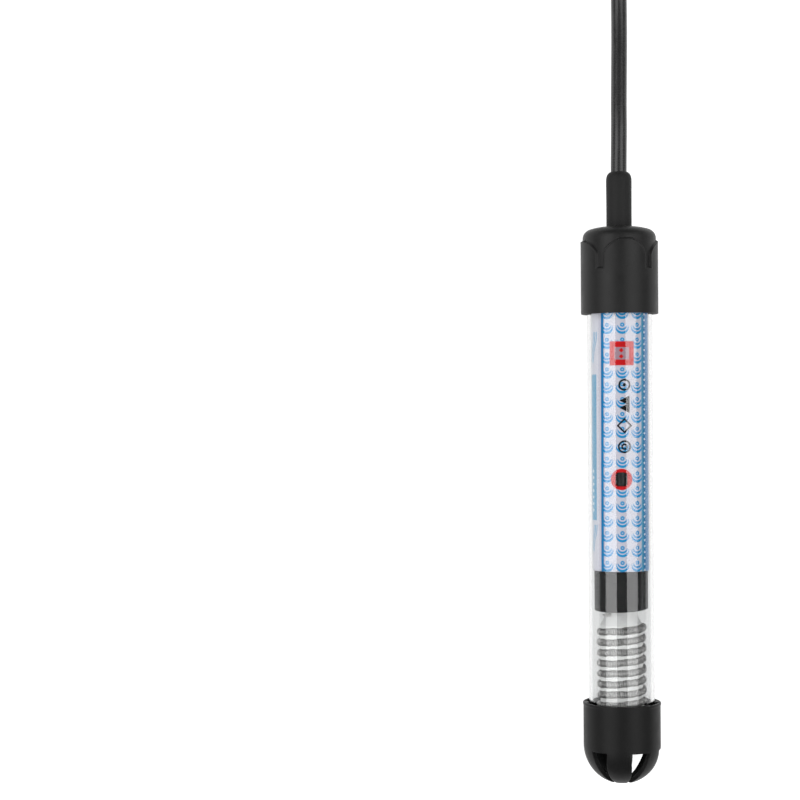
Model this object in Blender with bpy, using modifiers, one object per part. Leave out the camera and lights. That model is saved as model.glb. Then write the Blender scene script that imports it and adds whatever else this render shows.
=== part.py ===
"""A submersible aquarium heater, lying on its side with its cord folded away behind it.

Metres, +Z up. The heater's axis runs along +Y, from the bottom guard to the cord boot. The
heater's own pieces are placed by distance along that axis, from the point under the guard's
dome, and by x and y across it, where -y is the front face that looks up. They hang under one
empty that lays the axis down. The cord, its hank and the plug are placed in world coordinates.
"""

import math

import bmesh
import bpy
from mathutils import Vector

OBJECT = "aquarium_heater"

# Driving dimensions across the axis
OUTER_R = 0.0140  # cap grips and guard lip, which the heater rests on
GLASS_R = 0.01175
GLASS_WALL = 0.0011
CLEARANCE = 0.0003  # between pieces that touch on the real object
LABEL_R = 0.0103
LABEL_WALL = 0.00035
SHIELD_R = 0.0096
SHIELD_WALL = 0.0007
FORMER_R = 0.00585
COIL_R = 0.0090
COIL_WIRE_R = 0.001375
COIL_PITCH = 0.00376
COIL_END_ANGLE = math.radians(80)
CORD_R = 0.0029
BORE_R = CORD_R + CLEARANCE  # every hole that the cord passes through
BOOT_R = 0.0046

# Driving dimensions along the axis
GUARD_RIM = 0.0291
GLASS_BOTTOM = 0.0120
FORMER_BOTTOM = 0.0158
COIL_BOTTOM = 0.0199
COIL_TOP = 0.05615
SHIELD_BOTTOM = 0.0628
LABEL_BOTTOM = 0.0767
LAMP_MIDDLE = 0.1096
CAP_BOTTOM = 0.1687
LABEL_TOP = 0.1765
STOPPER_BOTTOM = 0.1780
GLASS_TOP = 0.1920
CAP_TOP = 0.2000
BOOT_TOP = 0.2199

# Bottom guard
GUARD_R = 0.0139
GUARD_DOME_R = 0.0133
GUARD_INNER_DOME_R = 0.0108
GUARD_FLAT_R = 0.0045  # of the dome's flat end
GUARD_HOLE_R = 0.0026
GUARD_BOTTOM = GUARD_DOME_R - math.sqrt(GUARD_DOME_R**2 - GUARD_FLAT_R**2)
SLOTS_DEG = (-47.0, 18.6, 81.0, 144.2, 198.0, 252.5)
SLOT_TOP = 0.0124
SLOT_HALF_WIDTH = 0.0035
SLOT_FOOT_HALF_WIDTH = 0.00025
POCKET_COUNT = 4
POCKET_WIDTH = 0.0062
POCKET_R = 0.0126
POCKET_BOTTOM = 0.0202

# Top cap
CAP_BASE_R = 0.01315
GROOVES_DEG = (-36.0, 42.0, 144.0, 222.0)
GROOVE_BOTTOM = 0.1849
GROOVE_HALF_WIDTH = 0.0012
ARCH_SPRING = 0.1891
ARCH_TOP = 0.1950

# Thermostat, on a board behind the axis: y across the axis, then levels along it
BOARD_FRONT = 0.0024
ON_BOARD = BOARD_FRONT - CLEARANCE
LOWER_SPACER = 0.0778
UPPER_SPACER = 0.1690
STRIP_BACK = -0.0006
STRIP_THICKNESS = 0.0008
STRIP_TIP = 0.1270
STRIP_PIVOT = 0.1570
CONTACT_LEVEL = 0.1315
CONTACT_R = 0.0011
CONTACT_THICKNESS = 0.0004
BLADE_BACK = 0.0011
BLADE_THICKNESS = 0.0004
BLADE_PIVOT = 0.1180
SCREW_LEVEL = 0.1230
FUSE_X = -0.0062
FUSE_Y = -0.0026
FUSE_MIDDLE = 0.1440

# The cord lies on the floor and is folded into a hank behind the heater
TIE_THICKNESS = 0.0006
HANK_LAYERS = 4
HANK_FLOOR = TIE_THICKNESS + CLEARANCE
HANK_TOP = HANK_FLOOR + 2 * CORD_R * HANK_LAYERS
HANK_MIDDLE = 0.3610
HANK_HALF_RUN = 0.0490
FOLD_R = 0.0174  # of the cord's centreline in the end folds
WAIST = 0.0032  # half the distance between the two bundles under the tie
TIE_LENGTH = 0.0040
PLUG_BOOT_START = 0.4760
PLUG_BOOT_LENGTH = 0.0200
PLUG_BODY_LENGTH = 0.0320
PLUG_WIDTH = 0.0240
PLUG_THICKNESS = 0.0160
PIN_SPACING = 0.0127
PIN_THICKNESS = 0.0015
PIN_WIDTH = 0.0063
PIN_REACH = 0.0160
PIN_ROOT = 0.0080

BODY_MIDDLE = (GUARD_BOTTOM + BOOT_TOP) / 2
TURN_STEPS = 48
SMALL_STEPS = 16

for old in list(bpy.data.objects):
    bpy.data.objects.remove(old)

parts = bpy.data.collections.new(OBJECT)
cutters = bpy.data.collections.new("cutters")
for collection in (parts, cutters):
    bpy.context.scene.collection.children.link(collection)

axis = bpy.data.objects.new("heater_axis", None)
axis.empty_display_size = 0.02
axis.location = (0, -BODY_MIDDLE, OUTER_R)
axis.rotation_euler = (math.radians(-90), 0, 0)
parts.objects.link(axis)


def material(name, colour, roughness, metallic=0.0, transmission=0.0):
    """A plain Principled material."""
    made = bpy.data.materials.new(name)
    made.use_nodes = True
    shader = made.node_tree.nodes["Principled BSDF"]
    shader.inputs["Base Color"].default_value = (*colour, 1)
    shader.inputs["Roughness"].default_value = roughness
    shader.inputs["Metallic"].default_value = metallic
    shader.inputs["Transmission Weight"].default_value = transmission
    return made


GLASS = material("clear_glass", (0.95, 0.97, 0.97), 0.02, transmission=1.0)
BLACK_PLASTIC = material("black_plastic", (0.018, 0.018, 0.019), 0.42)
BLACK_RUBBER = material("black_rubber", (0.02, 0.02, 0.02), 0.55)
SEAL_RUBBER = material("seal_rubber", (0.30, 0.05, 0.04), 0.5)
LABEL_FILM = material("label_film", (0.58, 0.60, 0.66), 0.4)
SHIELD_FIBRE = material("shield_fibre", (0.015, 0.015, 0.016), 0.6)
MICA = material("mica", (0.45, 0.36, 0.24), 0.5)
CERAMIC = material("ceramic", (0.82, 0.80, 0.76), 0.35)
WOOL = material("glass_wool", (0.86, 0.85, 0.80), 0.95)
NICHROME = material("nichrome", (0.42, 0.41, 0.40), 0.38, metallic=0.9)
STEEL = material("steel", (0.55, 0.55, 0.56), 0.3, metallic=1.0)
BRASS = material("brass", (0.78, 0.60, 0.28), 0.3, metallic=1.0)
SILVER = material("silver_contact", (0.80, 0.80, 0.80), 0.25, metallic=1.0)
MAGNET = material("ferrite", (0.08, 0.08, 0.085), 0.6)
BOARD = material("phenolic_board", (0.32, 0.17, 0.07), 0.55)
LAMP_GLASS = material("lamp_glass", (0.85, 0.30, 0.18), 0.1)
FUSE_BODY = material("fuse_body", (0.70, 0.72, 0.74), 0.35, metallic=0.8)
CAPACITOR_CASE = material("capacitor_case", (0.10, 0.22, 0.48), 0.4)
RESISTOR_BODY = material("resistor_body", (0.62, 0.52, 0.36), 0.5)
LIVE_SLEEVE = material("brown_sleeve", (0.22, 0.10, 0.05), 0.5)
NEUTRAL_SLEEVE = material("blue_sleeve", (0.05, 0.16, 0.45), 0.5)


def add(name, data, surface, on_axis=True):
    """A new object of the heater, under the axis empty unless it is one of the cord's pieces."""
    made = bpy.data.objects.new(name, data)
    parts.objects.link(made)
    data.materials.append(surface)
    if on_axis:
        made.parent = axis
    return made


def as_cutter(made):
    """Takes a piece out of the heater and keeps it for a Boolean."""
    parts.objects.unlink(made)
    cutters.objects.link(made)
    made.hide_render = True
    made.display_type = "WIRE"
    return made


def combine(made, other, operation="DIFFERENCE"):
    """Cuts other out of a piece, or joins it on, and turns other into a cutter."""
    step = made.modifiers.new(other.name, "BOOLEAN")
    step.operation = operation
    step.solver = "EXACT"
    step.object = as_cutter(other)


def turned(name, profile, surface, closed=True, steps=TURN_STEPS, on_axis=True):
    """A profile of (radius, height) points turned about Z. It runs down the outer side."""
    points = [(radius, 0, height) for radius, height in profile]
    edges = [(i, i + 1) for i in range(len(points) - 1)]
    if closed:
        edges.append((len(points) - 1, 0))
    mesh = bpy.data.meshes.new(name)
    mesh.from_pydata(points, edges, [])
    made = add(name, mesh, surface, on_axis)
    screw = made.modifiers.new("turn", "SCREW")
    screw.steps = steps
    screw.render_steps = steps
    screw.use_merge_vertices = True
    screw.merge_threshold = 0.00001
    screw.use_smooth_shade = True
    return made


def ring(name, inner, outer, bottom, top, surface, steps=TURN_STEPS):
    """A plain turned ring."""
    profile = [(inner, top), (outer, top), (outer, bottom), (inner, bottom)]
    return turned(name, profile, surface, steps=steps)


def rod(name, radius, length, centre, surface, along="Z", sides=SMALL_STEPS):
    """A round bar, centred on a point of the heater, along Z or across the axis along Y."""
    mesh = bpy.data.meshes.new(name)
    shape = bmesh.new()
    bmesh.ops.create_cone(
        shape, cap_ends=True, segments=sides, radius1=radius, radius2=radius, depth=length
    )
    shape.to_mesh(mesh)
    shape.free()
    mesh.shade_smooth()
    mesh.set_sharp_from_angle(angle=math.radians(40))
    made = add(name, mesh, surface)
    made.location = centre
    if along == "Y":
        made.rotation_euler = (math.radians(90), 0, 0)
    return made


def block(name, low, high, surface, on_axis=True, origin=None):
    """A box between two corners, with its origin at a given point or at its middle."""
    low, high = Vector(low), Vector(high)
    origin = (low + high) / 2 if origin is None else Vector(origin)
    mesh = bpy.data.meshes.new(name)
    shape = bmesh.new()
    bmesh.ops.create_cube(shape, size=1)
    for corner in shape.verts:
        share = corner.co + Vector((0.5, 0.5, 0.5))
        corner.co = Vector(a + (b - a) * t for a, b, t in zip(low, high, share)) - origin
    shape.to_mesh(mesh)
    shape.free()
    made = add(name, mesh, surface, on_axis)
    made.location = origin
    return made


def bevel(made, width, segments=2):
    """Rounds a piece's sharp edges."""
    step = made.modifiers.new("bevel", "BEVEL")
    step.width = width
    step.segments = segments
    step.limit_method = "ANGLE"


def tube(name, points, radius, surface, on_axis=True, resolution=2):
    """A round wire or cord through points."""
    curve = bpy.data.curves.new(name, "CURVE")
    curve.dimensions = "3D"
    curve.bevel_depth = radius
    curve.bevel_resolution = resolution
    curve.use_fill_caps = True
    line = curve.splines.new("POLY")
    line.points.add(len(points) - 1)
    for point, place in zip(line.points, points):
        point.co = (*place, 1)
    return add(name, curve, surface, on_axis)


def arc(centre_height, radius, start_deg, end_deg, steps):
    """Points on a circle about the axis's point at centre_height; 0 degrees is straight down."""
    points = []
    for i in range(steps + 1):
        angle = math.radians(start_deg + (end_deg - start_deg) * i / steps)
        points.append((radius * math.sin(angle), centre_height - radius * math.cos(angle)))
    return points


def around(made, angle_deg):
    """Turns a piece about the heater's axis; 0 degrees is the front, +90 is the +X side."""
    made.rotation_euler = (0, 0, math.radians(angle_deg))
    return made


def smooth_route(points, spacing):
    """Points about spacing apart on a smooth curve through the route's own points."""
    ends = [2 * Vector(points[0]) - Vector(points[1])]
    ends += [Vector(p) for p in points]
    ends.append(2 * ends[-1] - ends[-2])
    fine = []
    for before, start, end, after in zip(ends, ends[1:], ends[2:], ends[3:]):
        steps = max(1, round((end - start).length / spacing))
        for i in range(steps):
            t = i / steps
            fine.append(
                0.5
                * (
                    2 * start
                    + (end - before) * t
                    + (2 * before - 5 * start + 4 * end - after) * t**2
                    + (3 * start - before - 3 * end + after) * t**3
                )
            )
    fine.append(ends[-2])
    return fine


def glass_tube():
    """A test tube: round closed end in the guard, open end in the cap."""
    middle = GLASS_BOTTOM + GLASS_R
    inner_r = GLASS_R - GLASS_WALL
    profile = arc(middle, inner_r, 0, 90, 6)
    profile += [(inner_r, GLASS_TOP), (GLASS_R, GLASS_TOP)]
    profile += arc(middle, GLASS_R, 90, 0, 6)
    turned("glass_tube", profile, GLASS, closed=False)


def bottom_guard():
    """A push-on cup with a slotted dome of fingers under it."""
    bore = GLASS_R + CLEARANCE
    lip_height = 0.0009
    lip_foot = GUARD_RIM - 0.0012
    wall_bottom = 0.0180
    shoulder = (GUARD_R - 0.00015, 0.0148)
    dome_start = math.degrees(math.asin(GUARD_FLAT_R / GUARD_DOME_R))
    dome_end = 77.0
    inner_start = math.degrees(math.asin(GUARD_HOLE_R / GUARD_INNER_DOME_R))
    inner_end = 88.0
    seat_bottom = 0.0178
    seat_top = 0.0198
    profile = [(bore, GUARD_RIM), (OUTER_R, GUARD_RIM), (OUTER_R, GUARD_RIM - lip_height)]
    profile += [(GUARD_R, lip_foot), (GUARD_R, wall_bottom), shoulder]
    profile += arc(GUARD_DOME_R, GUARD_DOME_R, dome_end, dome_start, 7)
    profile += [(GUARD_HOLE_R, GUARD_BOTTOM)]
    profile += arc(GUARD_DOME_R, GUARD_INNER_DOME_R, inner_start, inner_end, 5)
    profile += [(GUARD_INNER_DOME_R, seat_bottom), (bore, seat_top)]
    guard = turned("bottom_guard", profile, BLACK_PLASTIC)
    past_wall = 0.020
    for i, angle in enumerate(SLOTS_DEG):
        slot = block(
            f"guard_slot_{i + 1}",
            (-SLOT_HALF_WIDTH, -past_wall, -0.001),
            (SLOT_HALF_WIDTH, -0.002, SLOT_TOP),
            BLACK_PLASTIC,
            origin=(0, 0, 0),
        )
        for corner in slot.data.vertices:
            if corner.co.z < 0:
                corner.co.x *= SLOT_FOOT_HALF_WIDTH / SLOT_HALF_WIDTH
        combine(guard, around(slot, angle))
    for i in range(POCKET_COUNT):
        pocket = block(
            f"guard_pocket_{i + 1}",
            (-POCKET_WIDTH / 2, -POCKET_R, POCKET_BOTTOM),
            (POCKET_WIDTH / 2, -0.010, GUARD_RIM + 0.002),
            BLACK_PLASTIC,
            origin=(0, 0, 0),
        )
        combine(guard, around(pocket, 360 / POCKET_COUNT * (i + 0.5)))


def groove_outline(grip_deg):
    """Half the outline of the gap beside an arched grip, from the gap's foot to the grip's middle."""
    reach = OUTER_R * math.sin(math.radians(grip_deg / 2))
    points = [(GROOVE_HALF_WIDTH, GROOVE_BOTTOM)]
    for i in range(7):
        angle = math.radians(15 * i)
        across = reach - (reach - GROOVE_HALF_WIDTH) * math.cos(angle)
        points.append((across, ARCH_SPRING + (ARCH_TOP - ARCH_SPRING) * math.sin(angle)))
    points.append((reach, CAP_TOP))
    return points


def prism(name, outline, near, far, surface):
    """A flat outline of (x, z) points, anticlockwise seen from -Y, as thick as near to far in Y."""
    mesh = bpy.data.meshes.new(name)
    shape = bmesh.new()
    face = shape.faces.new([shape.verts.new((x, near, z)) for x, z in outline])
    grown = bmesh.ops.extrude_face_region(shape, geom=[face])["geom"]
    moved = [v for v in grown if isinstance(v, bmesh.types.BMVert)]
    bmesh.ops.translate(shape, verts=moved, vec=(0, far - near, 0))
    bmesh.ops.recalc_face_normals(shape, faces=shape.faces)
    shape.to_mesh(mesh)
    shape.free()
    return add(name, mesh, surface)


def top_cap():
    """A domed cap over the glass's open end, with four arched grips standing proud of it."""
    bore = GLASS_R + CLEARANCE
    roof = GLASS_TOP + CLEARANCE
    foot = CAP_BOTTOM + 0.0004
    flat_r = 0.0071
    shoulder = [(0.0094, 0.0004), (0.0114, 0.0011), (0.0126, 0.0022), (0.0130, 0.0032)]
    core = [(bore, roof), (BORE_R, roof), (BORE_R, CAP_TOP), (flat_r, CAP_TOP)]
    core += [(radius, CAP_TOP - drop) for radius, drop in shoulder]
    core += [(CAP_BASE_R, ARCH_TOP), (CAP_BASE_R, foot), (bore, foot)]
    cap = turned("top_cap", core, BLACK_PLASTIC)
    grip_inner = 0.0127
    grip_top = ARCH_TOP - 0.0001
    grips = ring("cap_grips", grip_inner, OUTER_R, CAP_BOTTOM, grip_top, BLACK_PLASTIC)
    past_grips, within_core = -0.0170, -0.0070
    for i, angle in enumerate(GROOVES_DEG):
        before = (angle - GROOVES_DEG[i - 1]) % 360
        after = (GROOVES_DEG[(i + 1) % len(GROOVES_DEG)] - angle) % 360
        outline = groove_outline(after) + [(-x, z) for x, z in reversed(groove_outline(before))]
        groove = prism(f"cap_groove_{i + 1}", outline, past_grips, within_core, BLACK_PLASTIC)
        combine(grips, around(groove, angle))
    combine(cap, grips, "UNION")


def cord_entry():
    """The boot outside the cap, and the sheathed end of the cord through the cap and stopper."""
    foot = CAP_TOP + CLEARANCE
    mouth_r = 0.0035
    shoulder = [(0.0044, BOOT_TOP - 0.0011), (BOOT_R, BOOT_TOP - 0.0024)]
    profile = [(BORE_R, BOOT_TOP), (mouth_r, BOOT_TOP)]
    profile += shoulder
    profile += [(BOOT_R, foot), (BORE_R, foot)]
    turned("cord_boot", profile, BLACK_RUBBER, steps=24)
    sheath_bottom = 0.1720
    middle = (sheath_bottom + BOOT_TOP) / 2
    rod("cord_inner_end", CORD_R, BOOT_TOP - sheath_bottom, (0, 0, middle), BLACK_RUBBER)
    clamp_r = 0.0052
    clamp_bottom = 0.1732
    clamp_top = 0.1762
    ring("cord_clamp", BORE_R, clamp_r, clamp_bottom, clamp_top, STEEL, steps=24)


def double_seal():
    """A rubber stopper in the glass's mouth with two seal rings in its grooves."""
    stopper_r = GLASS_R - GLASS_WALL - CLEARANCE
    groove_r = 0.0080
    groove_half = 0.0013
    levels = {"upper": 0.1882, "lower": 0.1822}
    profile = [(BORE_R, GLASS_TOP), (stopper_r, GLASS_TOP)]
    for level in levels.values():
        profile += [(stopper_r, level + groove_half), (groove_r, level + groove_half)]
        profile += [(groove_r, level - groove_half), (stopper_r, level - groove_half)]
    profile += [(stopper_r, STOPPER_BOTTOM), (BORE_R, STOPPER_BOTTOM)]
    turned("inner_stopper", profile, BLACK_RUBBER, steps=32)
    seal_r = 0.0010
    middle_r = stopper_r - seal_r
    for side, level in levels.items():
        circle = [
            (middle_r + seal_r * math.cos(turn), level - seal_r * math.sin(turn))
            for turn in (math.radians(45 * i) for i in range(8))
        ]
        turned(f"seal_ring_{side}", circle, SEAL_RUBBER, steps=32)


def sleeves():
    """The printed label film and the heat shield's parts inside the glass."""
    ring("label_sleeve", LABEL_R - LABEL_WALL, LABEL_R, LABEL_BOTTOM, LABEL_TOP, LABEL_FILM)
    shield_top = LABEL_BOTTOM - CLEARANCE
    shield_inner = SHIELD_R - SHIELD_WALL
    ring("heat_shield_sleeve", shield_inner, SHIELD_R, SHIELD_BOTTOM, shield_top, SHIELD_FIBRE)
    disc_r = shield_inner - CLEARANCE
    neck = FORMER_R + CLEARANCE
    disc_thickness = 0.0014
    lower = 0.0638
    wool = lower + disc_thickness + CLEARANCE
    wool_height = 0.0060
    upper = 0.0730
    ring("shield_disc_lower", neck, disc_r, lower, lower + disc_thickness, MICA, steps=24)
    ring("glass_wool_pad", neck, disc_r, wool, wool + wool_height, WOOL, steps=24)
    ring("shield_disc_upper", BORE_R, disc_r, upper, upper + disc_thickness, MICA, steps=24)


def heating_element():
    """A wound coil on a ceramic former, with its leads and crimps."""
    former_bore = 0.0022
    former_top = 0.0726
    ring("ceramic_former", former_bore, FORMER_R, FORMER_BOTTOM, former_top, CERAMIC, steps=24)
    turns = (COIL_TOP - COIL_BOTTOM) / COIL_PITCH
    steps_a_turn = 14
    count = round(turns * steps_a_turn)
    centre_r = COIL_R - COIL_WIRE_R
    helix = []
    for i in range(count + 1):
        angle = COIL_END_ANGLE + math.tau * turns * (i / count - 1)
        across, deep = centre_r * math.sin(angle), -centre_r * math.cos(angle)
        helix.append((across, deep, COIL_BOTTOM + (COIL_TOP - COIL_BOTTOM) * i / count))
    tube("heating_coil", helix, COIL_WIRE_R, NICHROME)
    crimp_r = 0.0009
    crimp_length = 0.0022
    crimp_angle = math.radians(-48)
    crimp_from_axis = 0.0072
    across, deep = crimp_from_axis * math.sin(crimp_angle), -crimp_from_axis * math.cos(crimp_angle)
    rod("coil_crimp", crimp_r, crimp_length, (across, deep, 0.0616), STEEL, sides=12)
    lead_r = 0.0006
    return_route = [(0, 0, FORMER_BOTTOM + 0.0010), (0, 0, 0.0400), (0, 0, 0.0700), (0, 0, 0.0800)]
    return_route += [(0.0010, 0, 0.0860)]
    tube("coil_return_lead", return_route, lead_r, NICHROME)


def chassis():
    """The board that carries the thermostat, and the discs that centre it in the label."""
    disc_r = LABEL_R - LABEL_WALL - CLEARANCE
    thickness = 0.0012
    for side, bore, bottom in (("lower", 0.0030, LOWER_SPACER), ("upper", 0.0034, UPPER_SPACER)):
        ring(f"spacer_{side}", bore, disc_r, bottom, bottom + thickness, MICA, steps=24)
    board_bottom = LOWER_SPACER + thickness + 0.0004
    board_top = UPPER_SPACER - 0.0004
    half_width = 0.0082
    low = (-half_width, BOARD_FRONT, board_bottom)
    high = (half_width, BOARD_FRONT + 0.0016, board_top)
    block("thermostat_board", low, high, BOARD)


def plate(name, half_width, front, back, bottom, top, surface, middle=0.0, origin=None):
    """A flat bar that faces the front: half its width, then its two faces and its two ends."""
    low = (middle - half_width, front, bottom)
    high = (middle + half_width, back, top)
    return block(name, low, high, surface, origin=origin)


def bimetal():
    """The strip on its post, with its contact, and the magnet that makes it snap over."""
    half_width = 0.0030
    post_front = STRIP_BACK + CLEARANCE
    plate("bimetal_post", half_width, post_front, ON_BOARD, 0.1550, 0.1625, BRASS)
    strip_front = STRIP_BACK - STRIP_THICKNESS
    pivot = (0, STRIP_BACK - STRIP_THICKNESS / 2, STRIP_PIVOT)
    plate(
        "bimetal_strip", half_width, strip_front, STRIP_BACK, STRIP_TIP, 0.1600, STEEL, origin=pivot
    )
    contact_middle = (0, STRIP_BACK + 0.0001 + CONTACT_THICKNESS / 2, CONTACT_LEVEL)
    rod("moving_contact", CONTACT_R, CONTACT_THICKNESS, contact_middle, SILVER, "Y", 12)
    magnet_half = 0.0015
    magnet_x = 0.0057
    magnet_front = -0.0004
    magnet_bottom = STRIP_TIP
    magnet_top = magnet_bottom + 0.0040
    plate(
        "snap_magnet",
        magnet_half,
        magnet_front,
        ON_BOARD,
        magnet_bottom,
        magnet_top,
        MAGNET,
        middle=magnet_x,
    )
    keeper_back = strip_front - CLEARANCE
    keeper_low = (-half_width, keeper_back - 0.0005, STRIP_TIP + 0.0002)
    keeper_high = (magnet_x + magnet_half, keeper_back, STRIP_TIP + 0.0030)
    block("magnet_keeper", keeper_low, keeper_high, STEEL)


def contact_blade():
    """The blade with the fixed contact, and the screw over it in its bracket."""
    half_width = 0.0022
    front = BLADE_BACK - BLADE_THICKNESS
    pivot = (0, BLADE_BACK - BLADE_THICKNESS / 2, BLADE_PIVOT)
    plate("contact_blade", half_width, front, BLADE_BACK, 0.1160, 0.1335, BRASS, origin=pivot)
    thickness = 0.0003
    contact_middle = (0, front - 0.0001 - thickness / 2, CONTACT_LEVEL)
    rod("fixed_contact", CONTACT_R, thickness, contact_middle, SILVER, "Y", 12)
    plate("blade_post", half_width, BLADE_BACK + CLEARANCE, ON_BOARD, 0.1155, 0.1195, BRASS)

    shank_r = 0.0009
    head_r = 0.0019
    head_bottom = 0.0040
    head_top = 0.0052
    profile = [(0, head_top), (head_r, head_top), (head_r, head_bottom), (shank_r, head_bottom)]
    profile += [(shank_r, 0), (0, 0)]
    screw = turned("calibration_screw", profile, BRASS, closed=False, steps=12)
    slit_low = (-0.0030, -0.0003, head_top - 0.0006)
    slit_high = (0.0030, 0.0003, head_top + 0.0010)
    slit = block("screw_slit", slit_low, slit_high, BRASS, origin=(0, 0, 0))
    for piece in (screw, slit):
        piece.location = (0, front - CLEARANCE, SCREW_LEVEL)
        piece.rotation_euler = (math.radians(90), 0, 0)
    combine(screw, slit)

    bracket_bottom = SCREW_LEVEL - 0.0018
    bracket_top = SCREW_LEVEL + 0.0018
    bracket_front = -0.0030
    bracket_back = -0.0016
    reach = 0.0058
    bracket = plate(
        "screw_bracket", reach, bracket_front, bracket_back, bracket_bottom, bracket_top, BRASS
    )
    hole_middle = (0, (bracket_front + bracket_back) / 2, SCREW_LEVEL)
    combine(bracket, rod("bracket_hole", shank_r + CLEARANCE, 0.0060, hole_middle, BRASS, "Y"))
    leg_half = 0.0009
    for side, sign in (("left", -1), ("right", 1)):
        plate(
            f"bracket_leg_{side}",
            leg_half,
            bracket_back + CLEARANCE,
            ON_BOARD,
            bracket_bottom,
            bracket_top,
            BRASS,
            middle=sign * (reach - leg_half),
        )


def electrical_parts():
    """The lamp behind the label's window, and the small parts soldered round the board."""
    lamp = (0.0026, 0.0120, (-0.0007, -0.0064, LAMP_MIDDLE))
    resistor = (0.0012, 0.0064, (0.0062, -0.0030, LAMP_MIDDLE))
    fuse = (0.0018, 0.0100, (FUSE_X, FUSE_Y, FUSE_MIDDLE))
    rod("indicator_lamp", *lamp, LAMP_GLASS)
    rod("lamp_resistor", *resistor, RESISTOR_BODY, sides=12)
    rod("thermal_fuse", *fuse, FUSE_BODY, sides=12)
    capacitor = plate("suppression_capacitor", 0.0055, -0.0046, 0.0014, 0.0880, 0.0990, CAPACITOR_CASE)
    bevel(capacitor, 0.0010)
    for side, sign in (("live", -1), ("neutral", 1)):
        plate(f"terminal_{side}", 0.0019, 0.0009, ON_BOARD, 0.1615, 0.1675, BRASS, middle=sign * 0.0055)


def wires():
    """Sleeved wires from the cord's end to the board, and from the board to the coil."""
    sleeve_r = 0.0007
    bare_r = 0.0004
    live = [(-0.0012, 0, 0.1716), (-0.0020, 0, 0.1690), (-0.0036, -0.0006, 0.1665)]
    live += [(-0.0055, -0.0006, 0.1630)]
    neutral = [(-x, y, z) for x, y, z in live]
    tube("live_wire", live, sleeve_r, LIVE_SLEEVE)
    tube("neutral_wire", neutral, sleeve_r, NEUTRAL_SLEEVE)
    lead = [(FUSE_X, FUSE_Y, FUSE_MIDDLE + 0.0055), (-0.0064, -0.0020, 0.1540), (-0.0060, -0.0008, 0.1600)]
    tube("fuse_lead", lead, bare_r, STEEL)
    element = [(-0.0070, FUSE_Y, FUSE_MIDDLE - 0.0055), (-0.0072, FUSE_Y, 0.1200)]
    element += [(-0.0070, -0.0020, 0.1000), (-0.0068, -0.0010, 0.0850), (-0.0048, -0.0004, 0.0810)]
    tube("element_wire", element, sleeve_r, LIVE_SLEEVE)


def hank_half_width(along):
    """Half the hank's outline, at a distance along it from its middle."""
    if along > HANK_HALF_RUN:
        return math.sqrt(max(0.0, (FOLD_R + CORD_R) ** 2 - (along - HANK_HALF_RUN) ** 2))
    share = (1 - math.cos(math.pi * along / HANK_HALF_RUN)) / 2
    return CORD_R + WAIST + (FOLD_R - WAIST) * share


def cord_hank():
    """The folded cord's outer shape: two round loops drawn together under the tie."""
    fold_reach = FOLD_R + CORD_R
    end = HANK_HALF_RUN + fold_reach
    steps = 8
    quarter = [HANK_HALF_RUN * i / steps for i in range(steps)]
    quarter += [HANK_HALF_RUN + fold_reach * math.sin(math.pi / 2 * i / steps) for i in range(steps)]
    levels = [-level for level in reversed(quarter[1:])] + quarter
    right = [(hank_half_width(abs(level)), level) for level in levels]
    left = [(-across, level) for across, level in reversed(right)]
    outline = [(0.0, -end)] + right + [(0.0, end)] + left
    curve = bpy.data.curves.new("cord_hank", "CURVE")
    curve.dimensions = "2D"
    curve.fill_mode = "BOTH"
    curve.extrude = (HANK_TOP - HANK_FLOOR) / 2
    line = curve.splines.new("POLY")
    line.points.add(len(outline) - 1)
    line.use_cyclic_u = True
    for point, (across, along) in zip(line.points, outline):
        point.co = (across, along, 0, 1)
    hank = add("cord_hank", curve, BLACK_RUBBER, on_axis=False)
    hank.location = (0, HANK_MIDDLE - BODY_MIDDLE, (HANK_TOP + HANK_FLOOR) / 2)


def cord_tie():
    """A flat band round the hank's waist."""
    middle = HANK_MIDDLE - BODY_MIDDLE
    inner = WAIST + CORD_R + 2 * CLEARANCE
    top = HANK_TOP + CLEARANCE
    outer_low = (-inner - TIE_THICKNESS, middle - TIE_LENGTH / 2, 0)
    outer_high = (inner + TIE_THICKNESS, middle + TIE_LENGTH / 2, top + TIE_THICKNESS)
    tie = block("cord_tie", outer_low, outer_high, BLACK_PLASTIC, on_axis=False)
    hole = block(
        "tie_hole",
        (-inner, middle - TIE_LENGTH, TIE_THICKNESS),
        (inner, middle + TIE_LENGTH, top),
        BLACK_PLASTIC,
        on_axis=False,
    )
    combine(tie, hole)


def cord():
    """The cord's two free stretches: boot to hank, and hank to plug."""
    near_end = HANK_MIDDLE - HANK_HALF_RUN - FOLD_R - CORD_R
    far_end = HANK_MIDDLE + HANK_HALF_RUN + FOLD_R + CORD_R
    plug_axis = PLUG_THICKNESS / 2
    to_hank = [
        (0, BOOT_TOP + CLEARANCE, OUTER_R),
        (0.0001, 0.2280, 0.01385),
        (0.0003, 0.2360, 0.0130),
        (0.0005, 0.2440, 0.0114),
        (0.0008, 0.2520, 0.0095),
        (0.0011, 0.2600, 0.0077),
        (0.0014, 0.2680, 0.0059),
        (0.0016, 0.2760, 0.0044),
        (0.0017, 0.2840, 0.0034),
        (0.0017, near_end - CLEARANCE, 0.0030),
    ]
    to_plug = [
        (0, far_end + 2 * CLEARANCE, 0.0210),
        (0, 0.4380, 0.0201),
        (0, 0.4440, 0.0179),
        (0, 0.4500, 0.0149),
        (0, 0.4560, 0.0120),
        (0, 0.4620, 0.0096),
        (0, 0.4680, 0.0084),
        (0, PLUG_BOOT_START - CLEARANCE, plug_axis),
    ]
    for name, points in (("power_cord", to_hank), ("cord_tail", to_plug)):
        placed = [(x, along - BODY_MIDDLE, z) for x, along, z in points]
        tube(name, smooth_route(placed, 5 * CORD_R), CORD_R, BLACK_RUBBER, on_axis=False, resolution=3)


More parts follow.
